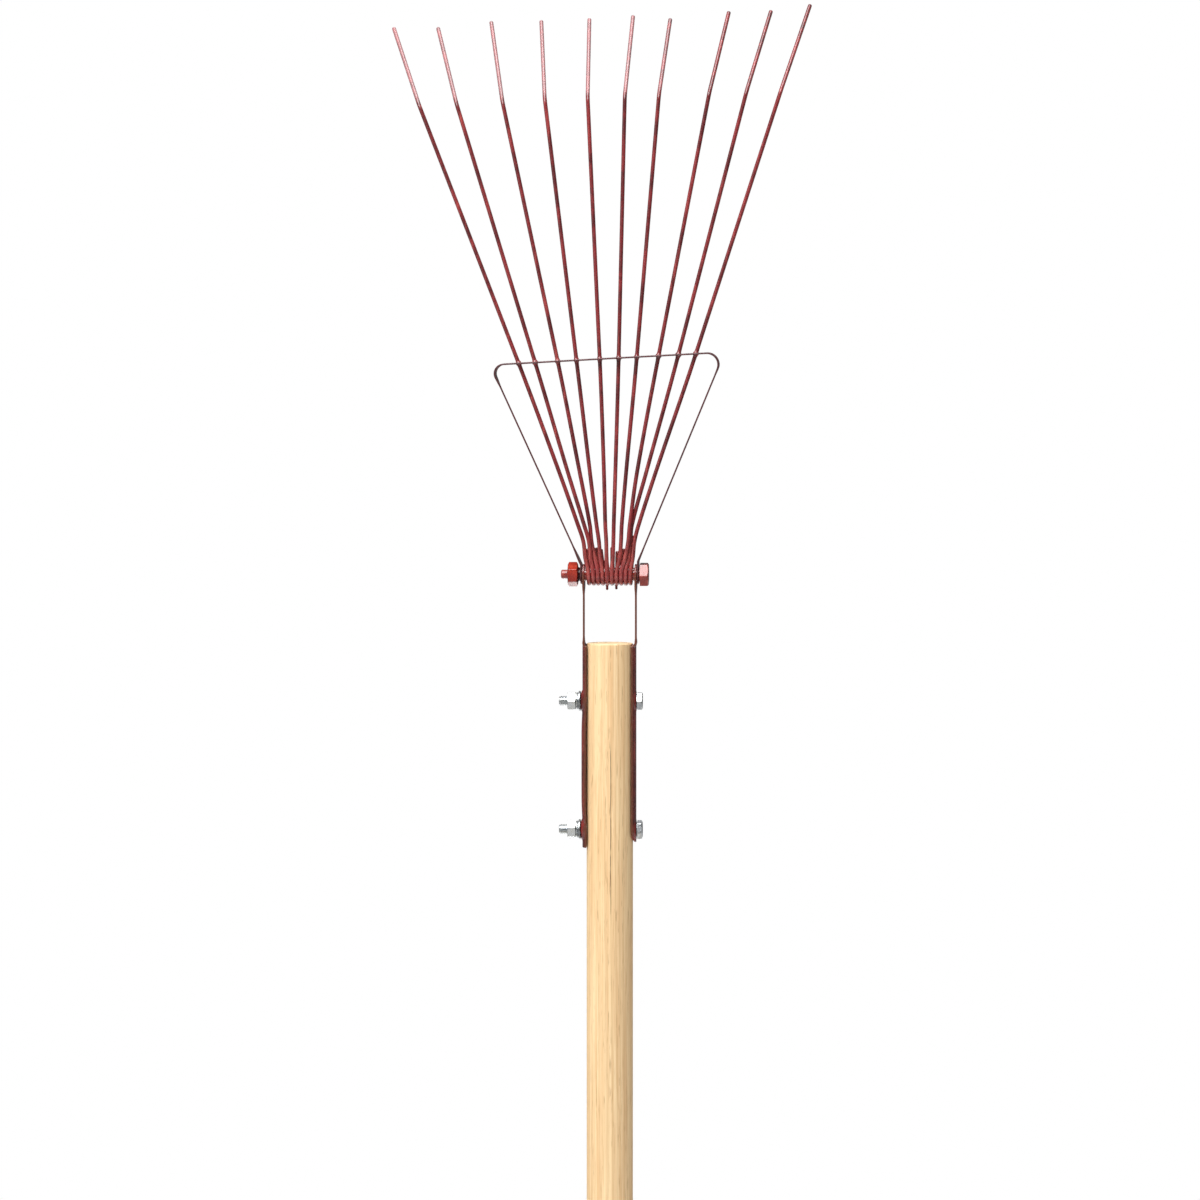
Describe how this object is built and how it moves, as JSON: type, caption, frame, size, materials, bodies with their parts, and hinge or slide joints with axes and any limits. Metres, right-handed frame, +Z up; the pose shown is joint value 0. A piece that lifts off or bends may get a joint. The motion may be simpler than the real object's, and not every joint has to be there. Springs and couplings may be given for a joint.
{
  "type": "leaf rake",
  "caption": "Leaf rake: a fan of bent wire tines held apart by a flat steel frame, on a pivot bolt between flat steel straps that clamp a round wooden pole.",
  "frame": {"origin": "centre of the pole's butt face", "axes": "+Z up the pole to the head, +X along the pivot bolt to its hexagon head, +Y the way the tips of the tines are bent"},
  "size_m": [0.2567, 0.0809, 1.5864],
  "materials": {
    "pole_wood": "pale natural wood, sanded, no varnish",
    "red_paint": "dark red dip paint, semi-gloss",
    "zinc_plate": "bright zinc plate"
  },
  "bodies": {
    "handle": {"handle_pole": "pole_wood", "strap_left": "red_paint", "strap_right": "red_paint", "pivot_bolt": "red_paint", "pivot_nut": "red_paint", "handle_bolt_upper": "zinc_plate", "handle_bolt_lower": "zinc_plate", "handle_nut_upper": "zinc_plate", "handle_nut_lower": "zinc_plate", "spring_washer_upper": "zinc_plate", "spring_washer_lower": "zinc_plate", "plain_washer_upper": "zinc_plate", "plain_washer_lower": "zinc_plate"},
    "head": {"spreader_frame": "red_paint", "tine_01": "red_paint", "tine_02": "red_paint", "tine_03": "red_paint", "tine_04": "red_paint", "tine_05": "red_paint", "tine_06": "red_paint", "tine_07": "red_paint", "tine_08": "red_paint", "tine_09": "red_paint", "tine_10": "red_paint"}
  },
  "joints": [
    {"name": "head_tilt", "type": "hinge", "parent": "handle", "child": "head", "pos_m": [0, 0, 1.2414], "axis": [1, 0, 0], "range_deg": [-130, 94]}
  ]
}
